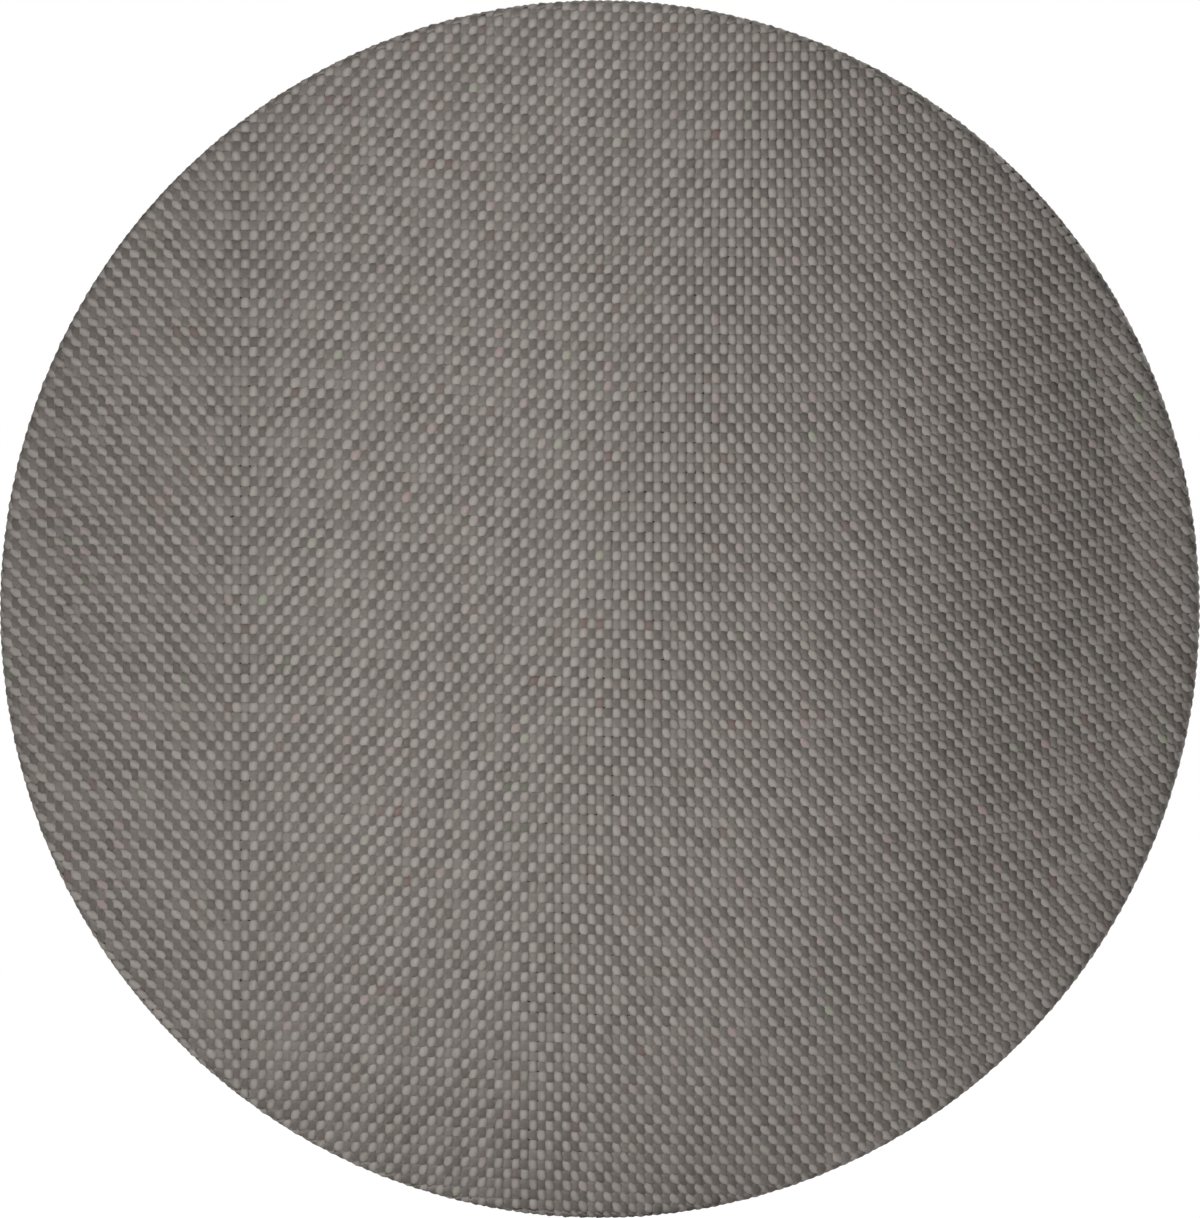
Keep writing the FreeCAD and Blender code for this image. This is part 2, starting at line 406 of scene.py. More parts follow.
def build_yarn_tree():
    """Sweeps a flat oval along each path, thicker and thinner by chance and fullest on top.
    edge is 0 along its front and back and near 1 along its sides."""
    numbers = ("Half Width", "Half Thickness", "Unevenness", "Slub Scale", "Fullness")
    tree = new_tree("yarn", numbers, "Yarn")
    given, to_curve, facing, out, sweep = node_chain(
        tree,
        "NodeGroupInput",
        "GeometryNodeMeshToCurve",
        ("GeometryNodeSetCurveNormal", {"mode": "FREE"}),
        ("GeometryNodeInputNamedAttribute", {"data_type": "FLOAT_VECTOR", "Name": "out"}),
        ("GeometryNodeCurveToMesh", {"Fill Caps": True}),
    )
    full, noise, centred, slub, swell = node_chain(
        tree,
        ("GeometryNodeInputNamedAttribute", {"data_type": "FLOAT", "Name": "lift"}),
        ("ShaderNodeTexNoise", {"Detail": 1.0}),
        ("ShaderNodeMath", {"operation": "SUBTRACT"}),
        ("ShaderNodeMath", {"operation": "MULTIPLY_ADD"}),
        ("ShaderNodeMath", {"operation": "MULTIPLY_ADD"}),
    )
    profile, place, parts, aside, edge, half, oval = node_chain(
        tree,
        ("GeometryNodeCurvePrimitiveCircle", {"Resolution": 6, "Radius": 1.0}),
        "GeometryNodeInputPosition",
        "ShaderNodeSeparateXYZ",
        ("ShaderNodeMath", {"operation": "ABSOLUTE"}),
        (
            "GeometryNodeStoreNamedAttribute",
            {"data_type": "FLOAT", "domain": "POINT", "Name": "edge"},
        ),
        "ShaderNodeCombineXYZ",
        "GeometryNodeTransform",
    )
    centred.inputs[1].default_value = 0.5
    slub.inputs[2].default_value = 1
    link = tree.links.new
    link(given.outputs["Paths"], to_curve.inputs["Mesh"])
    link(to_curve.outputs[0], facing.inputs["Curve"])
    link(out.outputs["Attribute"], facing.inputs["Normal"])
    link(given.outputs["Slub Scale"], noise.inputs["Scale"])
    link(noise.outputs[0], centred.inputs[0])
    link(centred.outputs[0], slub.inputs[0])
    link(given.outputs["Unevenness"], slub.inputs[1])
    link(full.outputs["Attribute"], swell.inputs[0])
    link(given.outputs["Fullness"], swell.inputs[1])
    link(slub.outputs[0], swell.inputs[2])
    link(place.outputs[0], parts.inputs[0])
    link(parts.outputs["Y"], aside.inputs[0])
    link(profile.outputs[0], edge.inputs["Geometry"])
    link(aside.outputs[0], edge.inputs["Value"])
    link(given.outputs["Half Thickness"], half.inputs["X"])
    link(given.outputs["Half Width"], half.inputs["Y"])
    link(edge.outputs[0], oval.inputs["Geometry"])
    link(half.outputs[0], oval.inputs["Scale"])
    link(facing.outputs[0], sweep.inputs["Curve"])
    link(oval.outputs[0], sweep.inputs["Profile Curve"])
    link(swell.outputs[0], sweep.inputs["Scale"])
    finish_tree(tree, given, sweep.outputs[0])
    return tree


def made_by(tree, name, base, values):
    """What the tree makes of a base mesh, as a plain mesh in an object of its own."""
    holder = bpy.data.objects.new(f"{name}_base", base)
    bpy.context.scene.collection.objects.link(holder)
    modifier = holder.modifiers.new("make", "NODES")
    modifier.node_group = tree
    identifiers = {item.name: item.identifier for item in tree.interface.items_tree}
    for key, value in values.items():
        modifier[identifiers[key]] = value
    depsgraph = bpy.context.evaluated_depsgraph_get()
    mesh = bpy.data.meshes.new_from_object(holder.evaluated_get(depsgraph))
    mesh.name = name
    bpy.data.objects.remove(holder)
    piece = bpy.data.objects.new(name, mesh)
    bpy.context.scene.collection.objects.link(piece)
    return piece


def mixed(nodes, links, factor, first, second):
    """A colour between two others, which are colours or node outputs."""
    mix = nodes.new("ShaderNodeMix")
    mix.data_type = "RGBA"
    links.new(factor, mix.inputs["Factor"])
    for socket, colour in zip((mix.inputs[6], mix.inputs[7]), (first, second)):
        if isinstance(colour, tuple):
            socket.default_value = (*colour, 1)
        else:
            links.new(colour, socket)
    return mix.outputs[2]


def ranged(nodes, links, value, low, high):
    """The value mapped from low..high to 0..1, and clamped."""
    span = nodes.new("ShaderNodeMapRange")
    span.inputs["From Min"].default_value = low
    span.inputs["From Max"].default_value = high
    links.new(value, span.inputs["Value"])
    return span.outputs[0]


def maths(nodes, links, operation, *values):
    """This operation on numbers and node outputs."""
    node = nodes.new("ShaderNodeMath")
    node.operation = operation
    for socket, value in zip(node.inputs, values):
        if isinstance(value, (int, float)):
            socket.default_value = value
        else:
            links.new(value, socket)
    return node.outputs[0]


fibre_long, fibre_fine = 900.0, 4200.0
# crown_from: the lift over which a float turns from its dip colour to its crown colour; on the warp
# this paints a highlight on the tops, partly wear, and shade in the dips.
crown_from = (-0.45, 0.6)
crown_held_back = 0.25
tone_share = 0.3
fibre_share = 0.3
pink_from, green_from = (1.8, 3.6), (-2, -4)


def yarn_material(name, deep, crown, pink, green, along):
    """Dull spun yarn, of one colour where it dips and at its sides, and another along the tops of
    its floats. On the warp the paler tops are partly wear and partly painted highlight, and the
    darker dips and sides are painted shade; on the weft the darker tops are its own colour. Floats
    differ in tone, and a few are pinkish or greenish. along is its direction."""
    material = bpy.data.materials.new(name)
    nodes, links = new_nodes(material)
    shader = nodes["Principled BSDF"]
    shader.inputs["Roughness"].default_value = 0.95
    shader.inputs["Specular IOR Level"].default_value = 0.08
    found = {}
    for key in ("tone", "tint", "lift", "edge"):
        node = nodes.new("ShaderNodeAttribute")
        node.attribute_name = key
        found[key] = node.outputs["Fac"]
    place = nodes.new("ShaderNodeTexCoord")
    stretch = nodes.new("ShaderNodeMapping")
    stretch.inputs["Scale"].default_value = [fibre_long if axis else fibre_fine for axis in along]
    fibres = nodes.new("ShaderNodeTexNoise")
    fibres.inputs["Scale"].default_value = 1.0
    fibres.inputs["Detail"].default_value = 2.0
    links.new(place.outputs["Object"], stretch.inputs["Vector"])
    links.new(stretch.outputs[0], fibres.inputs["Vector"])
    # On the warp this paints a highlight along the floats' tops, partly wear, and painted shade at
    # their dips and sides.
    aside = maths(nodes, links, "POWER", found["edge"], 2)
    raised = ranged(nodes, links, found["lift"], *crown_from)
    top = maths(nodes, links, "MULTIPLY_ADD", aside, -float_edge_fade, raised)
    uneven = maths(nodes, links, "MULTIPLY_ADD", found["tone"], tone_share, top)
    lowered = maths(nodes, links, "SUBTRACT", uneven, crown_held_back)
    streaked = maths(nodes, links, "MULTIPLY_ADD", fibres.outputs[0], fibre_share, lowered)
    colour = mixed(nodes, links, streaked, deep, crown)
    colour = mixed(nodes, links, ranged(nodes, links, found["tint"], *pink_from), colour, pink)
    colour = mixed(nodes, links, ranged(nodes, links, found["tint"], *green_from), colour, green)
    links.new(colour, shader.inputs["Base Color"])
    bump = nodes.new("ShaderNodeBump")
    bump.inputs["Strength"].default_value = 0.3
    bump.inputs["Distance"].default_value = 0.0001
    links.new(fibres.outputs[0], bump.inputs["Height"])
    links.new(bump.outputs[0], shader.inputs["Normal"])
    return material


yarn_tree = build_yarn_tree()
# Warp: crown is paler, partly wear and partly painted highlight; deep is painted shade in its dips
# and at its sides.
warp_yarn = yarn_material(
    "warp_yarn",
    deep=(0.182, 0.166, 0.151),
    crown=(0.256, 0.236, 0.218),
    pink=(0.25, 0.2, 0.19),
    green=(0.23, 0.24, 0.19),
    along=(0, 0, 1),
)
weft_yarn = yarn_material(
    "weft_yarn",
    deep=(0.192, 0.176, 0.162),
    crown=(0.11, 0.099, 0.09),
    pink=(0.145, 0.108, 0.1),
    green=(0.12, 0.123, 0.097),
    along=(1, 0, 0),
)
warp_cuts = np.searchsorted(warp_x, (-far, -bend_middle, 0, bend_middle, far))


def in_zone(kind, zone, flat_x):
    """Which points of the runs are this zone's. The wefts part where they pass under a warp."""
    place = list(zones).index(zone)
    low, high = warp_cuts[place], warp_cuts[place + 1]
    if kind == "warp":
        return (np.arange(warp_count)[:, None] >= low) & (np.arange(warp_count)[:, None] < high)
    row = np.arange(weft_count)[None, :]
    step = np.arange(flat_x.shape[0])[:, None]
    begin = (low - (row + low) % 2) * steps_per_crossing
    end = (high - (row + high) % 2) * steps_per_crossing
    return (step >= begin) & (step <= end)


def weave(kind, zone, paths, width, thickness, fullness, yarn):
    """One set's threads in one zone, from the runs of the paths that lie in it."""
    flat_x, flat_z, lift, tone, tint, lean = paths
    bowed = flat_z + added_up(weft_slopes, flat_x)
    if kind == "warp":
        flat_x = flat_x - warp_lean * lean_share(flat_x, bowed) * lean
    else:
        bowed = bowed - weft_lean * lean_share(flat_x, bowed) * lean
    share = np.hypot(flat_x / (rim_x + cloth_past_rim), bowed / (rim_z + cloth_past_rim))
    keep = (share < 1) & in_zone(kind, zone, flat_x)
    places, out = on_panel(flat_x, bowed, lift * crossing_lift)
    number = np.cumsum(keep).reshape(keep.shape) - 1
    if kind == "warp":
        joined = keep[:, 1:] & keep[:, :-1]
        ends = number[:, :-1][joined], number[:, 1:][joined]
    else:
        joined = keep[1:] & keep[:-1]
        ends = number[:-1][joined], number[1:][joined]
    base = bpy.data.meshes.new(f"{kind}_{zone}")
    base.from_pydata(places[keep] * mm, np.stack(ends, -1).tolist(), [])
    ways_out = base.attributes.new("out", "FLOAT_VECTOR", "POINT")
    ways_out.data.foreach_set("vector", out[keep].ravel().astype(np.float32))
    for key, value in (("lift", lift), ("tone", tone), ("tint", tint)):
        attribute = base.attributes.new(key, "FLOAT", "POINT")
        attribute.data.foreach_set("value", value[keep].astype(np.float32))
    values = {
        "Half Width": width / 2 * mm,
        "Half Thickness": thickness / 2 * mm,
        "Unevenness": slub_depth,
        "Slub Scale": slub_scale,
        "Fullness": fullness,
        "Material": yarn,
    }
    piece = made_by(yarn_tree, f"{kind}_{zone}", base, values)
    stand_for(piece, zone, "face_cloth")
    return piece


along, across, *rest = thread_paths(warp_x, weft_z, 1)
warp = (across, along, *rest)
weft = tuple(part.T for part in thread_paths(weft_z, warp_x, -1))


for zone in zones:
    warp_piece = weave("warp", zone, warp, warp_width, warp_thick, warp_fullness, warp_yarn)
    weft_piece = weave("weft", zone, weft, weft_width, weft_thick, weft_fullness, weft_yarn)

# ----------------------------------------
# Liner
# Black scrim behind the face cloth that stops light coming through. It hangs loose inside the
# hem and follows the face's ripples.


def corners_of(node):
    """The low and high corners of a piece of the frame, in millimetres."""
    return [np.array(corner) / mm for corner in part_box(node)]


liner_low, liner_high = corners_of("liner_spine")
liner_inset = rim_z - liner_high[2]
column_angle = 1.2
rows_per_column = 96
sharp_from = math.radians(50)
wear_scale = 90


def put_mesh(name, points, faces, flat, material):
    """A closed smooth piece from points in millimetres, each with its place on the flat cloth."""
    mesh = bpy.data.meshes.new(name)
    mesh.from_pydata(points * mm, [], faces)
    corners = np.empty(len(mesh.loops), int)
    mesh.loops.foreach_get("vertex_index", corners)
    layer = mesh.uv_layers.new(name="flat")
    layer.data.foreach_set("uv", (flat[corners] * mm).ravel())
    shape = bmesh.new()
    shape.from_mesh(mesh)
    bmesh.ops.recalc_face_normals(shape, faces=shape.faces)
    shape.to_mesh(mesh)
    shape.free()
    mesh.shade_smooth()
    mesh.set_sharp_from_angle(angle=sharp_from)
    mesh.materials.append(material)
    piece = bpy.data.objects.new(name, mesh)
    bpy.context.scene.collection.objects.link(piece)
    return piece


def slab(name, front, back, flat, material):
    """A closed slab between two grids of points, with flat the grid's places on the flat cloth."""
    rows, columns = front.shape[:2]
    number = np.arange(rows * columns).reshape(rows, columns)
    quads = np.stack((number[:-1, :-1], number[1:, :-1], number[1:, 1:], number[:-1, 1:]), -1)
    quads = quads.reshape(-1, 4)
    far_side = quads[:, ::-1] + rows * columns
    edge = np.concatenate((number[0, :-1], number[:-1, -1], number[-1, :0:-1], number[:0:-1, 0]))
    after = np.roll(edge, -1)
    walls = np.stack((edge, after, after + rows * columns, edge + rows * columns), -1)
    faces = np.concatenate((quads, far_side, walls)).tolist()
    points = np.concatenate((front.reshape(-1, 3), back.reshape(-1, 3)))
    return put_mesh(name, points, faces, np.concatenate((flat.reshape(-1, 2),) * 2), material)


def disc_grid(zone, inset):
    """x and z of a grid that fills this zone of the panel's outline, drawn in by inset."""
    half_x, half_z = rim_x - inset, rim_z - inset
    reach_x = half_x * 0.9995
    low, high = np.clip(zones[zone][1], -reach_x, reach_x)
    begin, end = math.acos(low / half_x), math.acos(high / half_x)
    columns = int(math.degrees(begin - end) / column_angle) + 2
    x = half_x * np.cos(np.linspace(begin, end, columns))[:, None]
    reach = half_z * np.sqrt(1 - (x / half_x) ** 2)
    return x.repeat(rows_per_column, 1), reach * np.linspace(-1, 1, rows_per_column)


def cloth_material(name, colour, groove_shade, across, along, relief, roughness=0.85, specular=0.2):
    """Woven or ribbed cloth: raised ribs this far apart in millimetres, with painted shade
    darkening the grooves.
    """
    material = bpy.data.materials.new(name)
    nodes, links = new_nodes(material)
    shader = nodes["Principled BSDF"]
    shader.inputs["Roughness"].default_value = roughness
    shader.inputs["Specular IOR Level"].default_value = specular
    place = nodes.new("ShaderNodeUVMap")
    place.uv_map = "flat"
    parts = nodes.new("ShaderNodeSeparateXYZ")
    links.new(place.outputs[0], parts.inputs[0])
    waves = []
    for part, pitch in zip(parts.outputs, (across, along)):
        if pitch:
            turns = maths(nodes, links, "MULTIPLY", part, 2 * math.pi / (pitch * mm))
            waves.append(maths(nodes, links, "SINE", turns))
    wave = waves[0] if len(waves) == 1 else maths(nodes, links, "MULTIPLY", *waves)
    height = maths(nodes, links, "MULTIPLY_ADD", wave, 0.5, 0.5)
    patches = nodes.new("ShaderNodeTexNoise")
    patches.inputs["Scale"].default_value = wear_scale
    patches.inputs["Detail"].default_value = 4
    links.new(place.outputs[0], patches.inputs["Vector"])
    # Painted shade: the colour darkens towards the groove colour in the ribs' grooves, and varies
    # in noise patches of wear.
    ridged = maths(nodes, links, "MULTIPLY_ADD", height, 0.6, -0.1)
    wear_and_groove_shade = maths(nodes, links, "MULTIPLY_ADD", patches.outputs[0], 0.6, ridged)
    links.new(mixed(nodes, links, wear_and_groove_shade, groove_shade, colour), shader.inputs["Base Color"])
    bump = nodes.new("ShaderNodeBump")
    bump.inputs["Strength"].default_value = 0.8
    bump.inputs["Distance"].default_value = relief * mm
    links.new(height, bump.inputs["Height"])
    links.new(bump.outputs[0], shader.inputs["Normal"])
    return material


scrim = cloth_material("scrim", (0.012, 0.012, 0.012), (0.004, 0.004, 0.004), 0.5, 0.5, 0.05)

for zone in zones:
    x, z = disc_grid(zone, liner_inset)
    grids = [np.stack((x, y - ripple(x, z), z), -1) for y in (liner_low[1], liner_high[1])]
    piece = slab(f"scrim_{zone}", *grids, np.stack((x, z), -1), scrim)
    stand_for(piece, zone, "liner")

# ----------------------------------------
# Hoop
# One flat strip of blued spring steel on edge inside the rim, whose ends meet at the bottom in a
# pressed steel sleeve and are held by two rivets. It lets the panel twist down into a coil.

band_low, band_high = corners_of("hoop_spine_top")
band_inset = rim_z - band_high[2]
band_thick = 0.7
band_edge = 0.15
band_end_gap = 0.5
band_step = 2.5
cut_reach = 5.0
both_ends = np.array([0.0, 1.0])


def arc_angles(zone, inset, t, gap):
    """Angles round the panel's outline, drawn in by inset, for each arc of it in this zone."""
    half_x = rim_x - inset
    low, high = zones[zone][1]
    if low < -half_x:
        begin = np.arccos(high / half_x)
        return [begin + t * (2 * math.pi - 2 * begin)]
    if high > half_x:
        end = np.arccos(low / half_x)
        return [-end + t * 2 * end]
    low_under, high_under = low + gap * (low == 0), high - gap * (high == 0)
    top = [np.arccos(value / half_x) for value in (high, low)]
    under = [-np.arccos(value / half_x) for value in (low_under, high_under)]
    return [first + t * (last - first) for first, last in (top, under)]


def gathers(angle, count, wander, second, shift=0):
    """Waves round the rim, as along a seam: this many, which wander, and a second, weaker set."""
    main = np.sin(angle * count + wander[0] * np.sin(angle * wander[1]))
    return main + 0.6 * np.sin(angle * second + shift)


def rim_strip(name, zone, insets, depths, step, material, gap=0, pucker=0, ribs=0, rib_height=0):
    """A closed strip along the rim in this zone, whose section has these insets and depths. Its
    points lie square across it, except close to where the zone parts it. Its back may pucker a
    little, and have this many ribs across it in the whole round."""
    insets, depths = np.array(insets, float), np.array(depths, float)
    around = np.hypot(np.diff(np.append(insets, insets[0])), np.diff(np.append(depths, depths[0])))
    place = np.concatenate(([0], np.cumsum(around)[:-1]))
    points, faces, flat = [], [], []
    spans = arc_angles(zone, insets.mean(), both_ends, gap)
    for number, span in enumerate(spans):
        rings = int(abs(span[1] - span[0]) * rim_x / step) + 2
        t = np.linspace(0, 1, rings)
        cuts = [arc_angles(zone, inset, both_ends, gap)[number] for inset in insets]
        ends = np.stack(cuts, -1)
        angle = (span[0] + t * (span[1] - span[0]))[:, None]
        for end, share in enumerate((t, 1 - t)):
            near = np.clip(1 - share * abs(span[1] - span[0]) * rim_x / cut_reach, 0, 1)
            angle = angle + near[:, None] * (ends[end] - span[end])
        x, z = (rim_x - insets) * np.cos(angle), (rim_z - insets) * np.sin(angle)
        wave = pucker * gathers(angle, 97, (3, 13), 41)
        wave = (wave + rib_height * np.sin(angle * ribs)) * (depths > depths.min())
        start = sum(len(part) for part in points)
        ring = np.arange(rings * len(insets)).reshape(rings, -1) + start
        after = np.roll(ring, -1, 1)
        faces += np.stack((ring[:-1], ring[1:], after[1:], after[:-1]), -1).reshape(-1, 4).tolist()
        faces += [ring[0].tolist(), ring[-1, ::-1].tolist()]
        points.append(np.stack((x, depths + wave, z), -1).reshape(-1, 3))
        flat.append(np.stack((angle * rim_x, place + 0 * angle), -1).reshape(-1, 2))
    return put_mesh(name, np.concatenate(points), faces, np.concatenate(flat), material)


def rim_nodes(kind, zone):
    """The frame's nodes of this kind of strip in this zone: one for a wing, two elsewhere."""
    names = []
    for stretch in reversed(zones[zone][0]):
        ends = [""] if "wing" in stretch else ["_top", "_bottom"]
        names += [f"{kind}_{stretch}{end}" for end in ends]
    return names


def metal(name, colour, roughness, scratches):
    """Plain metal with fine scratches."""
    material = bpy.data.materials.new(name)
    nodes, links = new_nodes(material)
    shader = nodes["Principled BSDF"]
    shader.inputs["Base Color"].default_value = (*colour, 1)
    shader.inputs["Metallic"].default_value = 1
    place = nodes.new("ShaderNodeTexCoord")
    noise = nodes.new("ShaderNodeTexNoise")
    noise.inputs["Scale"].default_value = 900
    noise.inputs["Detail"].default_value = 3
    links.new(place.outputs["Object"], noise.inputs["Vector"])
    smoothest = roughness - scratches / 2
    rough = maths(nodes, links, "MULTIPLY_ADD", noise.outputs[0], scratches, smoothest)
    links.new(rough, shader.inputs["Roughness"])
    return material


def dress(node, material):
    """Gives a piece of the frame its material."""
    for slot in frame["nodes"][node].material_slots:
        slot.material = material


blued_steel = metal("blued_steel", (0.16, 0.18, 0.22), 0.35, 0.15)
bright_steel = metal("bright_steel", (0.5, 0.5, 0.5), 0.3, 0.2)
dress("joiner_sleeve", bright_steel)
dress("joiner_rivets", bright_steel)

band = [(0, band_edge), (band_edge, 0), (band_thick - band_edge, 0), (band_thick, band_edge)]
band += [(across, band_high[1] - band_low[1] - down) for across, down in reversed(band)]
band_insets = [band_inset + across for across, _ in band]
band_depths = [band_low[1] + down for _, down in band]

for zone in zones:
    piece = rim_strip(
        f"band_{zone}", zone, band_insets, band_depths, band_step, blued_steel, band_end_gap
    )
    bend_with_panel(piece)
    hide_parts(*rim_nodes("hoop", zone))

# ----------------------------------------
# Back cloth
# Fine charcoal polyester, sewn to the hem all round under the edge tape, which gathers it into
# faint puckers.

back_low, back_high = corners_of("back_cloth_spine")
back_inset = rim_z - back_high[2]
tape_cover = 6
pucker_height = 0.75
pucker_reach = 30
unpuckered = (30, 45)
back_sag = 0.3

polyester = cloth_material(
    "polyester", (0.036, 0.036, 0.04), (0.008, 0.008, 0.009), 0.65, 0.65, 0.16, 0.7, 0.35
)


def back_relief(x, z):
    """How far the back cloth stands off its flat place: a slight sag, and puckers near the tape
    that fade out towards the label, the tab and the closing loop."""
    share = np.hypot(x / rim_x, z / rim_z)
    from_rim = (1 - share) * rim_x - back_inset - tape_cover
    angle = np.arctan2(z, x)
    fold = gathers(angle, 38, (2, 5), 23, 1)
    fade = np.exp(-np.clip(from_rim, 0, None) / pucker_reach * 2) * np.clip(from_rim / 5, 0, 1)
    fade *= np.interp(np.abs(x), unpuckered, (0, 1))
    slack = np.sin(x / 31 + 0.4) * np.sin(z / 43 - 0.7) * np.clip(from_rim / 40, 0, 1)
    return pucker_height * fold * fade + back_sag * slack


for zone in zones:
    x, z = disc_grid(zone, back_inset)
    relief = back_relief(x, z)
    grids = [np.stack((x, y + relief, z), -1) for y in (back_low[1], back_high[1])]
    piece = slab(f"backing_{zone}", *grids, np.stack((x, z), -1), polyester)
    stand_for(piece, zone, "back_cloth")

# ----------------------------------------
# Edge tape
# Ribbed grosgrain sewn on behind, over the turned-in hem and the back cloth's edge, with a row
# of lockstitches along each side.

tape_low, tape_high = corners_of("edge_tape_spine_top")
tape_inset = rim_z - tape_high[2]
tape_width = 9.0
tape_front, tape_back = tape_low[1], tape_high[1]
tape_edge = 0.3
stitch_row = 1.3
stitch_pitch = 3.0
stitch_size = (2.3, 0.55, 0.42)
rib_count = 785
rib_pitch = 2 * math.pi * rim_x / rib_count
rib_height = 0.08

grosgrain = cloth_material(
    "grosgrain", (0.022, 0.022, 0.022), (0.003, 0.003, 0.003), rib_pitch, None, 0.04
)
thread = cloth_material("thread", (0.075, 0.075, 0.075), (0.03, 0.03, 0.03), 0.4, None, 0.05)


def build_stitch_tree():
    """Sets a small rounded stitch on each point, along one attribute and out along another."""
    tree = new_tree("stitches", ("Length", "Width", "Height"), "Stitches")
    given, along, out, turn, tip, shape, size, shaped, place = node_chain(
        tree,
        "NodeGroupInput",
        ("GeometryNodeInputNamedAttribute", {"data_type": "FLOAT_VECTOR", "Name": "along"}),
        ("GeometryNodeInputNamedAttribute", {"data_type": "FLOAT_VECTOR", "Name": "out"}),
        ("FunctionNodeAlignRotationToVector", {"axis": "X"}),
        ("FunctionNodeAlignRotationToVector", {"axis": "Z", "pivot_axis": "X"}),
        ("GeometryNodeMeshUVSphere", {"Segments": 8, "Rings": 5, "Radius": 0.5}),
        "ShaderNodeCombineXYZ",
        "GeometryNodeTransform",
        "GeometryNodeInstanceOnPoints",
    )
    link = tree.links.new
    link(along.outputs["Attribute"], turn.inputs["Vector"])
    link(turn.outputs[0], tip.inputs["Rotation"])
    link(out.outputs["Attribute"], tip.inputs["Vector"])
    for name, axis in zip(("Length", "Width", "Height"), "XYZ"):
        link(given.outputs[name], size.inputs[axis])
    link(shape.outputs["Mesh"], shaped.inputs["Geometry"])
    link(size.outputs[0], shaped.inputs["Scale"])
    link(given.outputs["Paths"], place.inputs["Points"])
    link(shaped.outputs[0], place.inputs["Instance"])
    link(tip.outputs[0], place.inputs["Rotation"])
    finish_tree(tree, given, place.outputs[0])
    return tree


stitch_tree = build_stitch_tree()


def stitches(name, points, along, out, size=stitch_size):
    """Lockstitches at these points, in millimetres."""
    base = bpy.data.meshes.new(name)
    base.from_pydata(np.asarray(points) * mm, [], [])
    for key, value in (("along", along), ("out", out)):
        attribute = base.attributes.new(key, "FLOAT_VECTOR", "POINT")
        vectors = np.broadcast_to(value, (len(points), 3))
        attribute.data.foreach_set("vector", vectors.astype(np.float32).ravel())
    values = {key: part * mm for key, part in zip(("Length", "Width", "Height"), size)}
    piece = made_by(stitch_tree, name, base, {**values, "Material": thread})
    return piece


def stitch_line(corners, pitch=stitch_pitch):
    """Points and directions of stitches along lines through these corners."""
    points, along = [], []
    for first, last in zip(corners, corners[1:]):
        first, last = np.array(first, float), np.array(last, float)
        length = np.linalg.norm(last - first)
        count = max(int(round(length / pitch)), 1)
        for step in range(count):
            points.append(first + (last - first) * (step + 0.5) / count)
            along.append((last - first) / length)
    return np.array(points), np.array(along)


tape_ends = (tape_inset, tape_inset + tape_width)
across_tape = np.linspace(tape_ends[0] + tape_edge, tape_ends[1] - tape_edge, 10).tolist()
tape_insets = [tape_ends[0]] * 2 + across_tape + [tape_ends[1]] * 2
tape_shoulder = tape_back - tape_edge
tape_depths = [tape_front, tape_shoulder] + [tape_back] * len(across_tape)
tape_depths += [tape_shoulder, tape_front]

for zone in zones:
    piece = rim_strip(
        f"tape_{zone}",
        zone,
        tape_insets,
        tape_depths,
        rib_pitch / 6,
        grosgrain,
        pucker=0.05,
        ribs=rib_count,
        rib_height=rib_height,
    )
    bend_with_panel(piece)
    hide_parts(*rim_nodes("edge_tape", zone))
    points, along = [], []
    for inset in (tape_ends[0] + stitch_row, tape_ends[1] - stitch_row):
        for span in arc_angles(zone, inset, both_ends, 0):
            count = int(abs(span[1] - span[0]) * (rim_x - inset) / stitch_pitch)
            angle = span[0] + (np.arange(count) + 0.5) / count * (span[1] - span[0])
            x, z = (rim_x - inset) * np.cos(angle), (rim_z - inset) * np.sin(angle)
            points.append(np.stack((x, 0 * angle + tape_back, z), -1))
            along.append(np.stack((-np.sin(angle), 0 * angle, np.cos(angle)), -1))
    points, along = np.concatenate(points), np.concatenate(along)
    seam = stitches(f"tape_seam_{zone}", points, along, (0, 1, 0))
    bend_with_panel(seam)

# ----------------------------------------
# Care label
# A short piece of white satin ribbon with nothing printed on it, sewn down all round to the back
# cloth near its lower edge.

low, high = corners_of("care_label")
label_step = 0.8
label_seam_inset, label_seam_pitch = 1.2, 2.2
label_stitch = (1.8, 0.35, 0.3)
stitch_lift = 0.05

satin = cloth_material("satin", (0.62, 0.61, 0.58), (0.45, 0.44, 0.42), None, 0.35, 0.02, 0.45, 0.4)


def flat_patch(name, low, high, step, relief, material, top=None):
    """A thin slab that fills the box from low to high, raised by relief(x, z). top gives the
    height of its upper edge at x."""
    x = np.linspace(low[0], high[0], int((high[0] - low[0]) / step) + 2)[:, None]
    t = np.linspace(0, 1, int((high[2] - low[2]) / step) + 2)[None, :]
    upper = high[2] + 0 * x if top is None else np.minimum(top(x), high[2])
    z = low[2] + t * (upper - low[2])
    x = x + 0 * z
    lift = relief(x, z)
    grids = [np.stack((x, y + lift, z), -1) for y in (low[1], high[1])]
    return slab(name, *grids, np.stack((x, z), -1), material)


def cockled(x, z):
    """The label's relief: slight waves."""
    return 0.12 * np.sin(x / 3.1 + 1) * np.sin(z / 4.3)


piece = flat_patch("label", low, high, label_step, cockled, satin)
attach(piece, "spine")
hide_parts("care_label")


def edge_corners(low, high, inset, y):
    """The corners of a seam round a rectangle, drawn in by inset."""
    x0, z0, x1, z1 = low[0] + inset, low[2] + inset, high[0] - inset, high[2] - inset
    return [(x0, y, z0), (x1, y, z0), (x1, y, z1), (x0, y, z1), (x0, y, z0)]


def declare_laid_piece(seam):
    """Attaches to the spine this seam, which sews a flat rectangle down on the back cloth."""
    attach(seam, "spine")


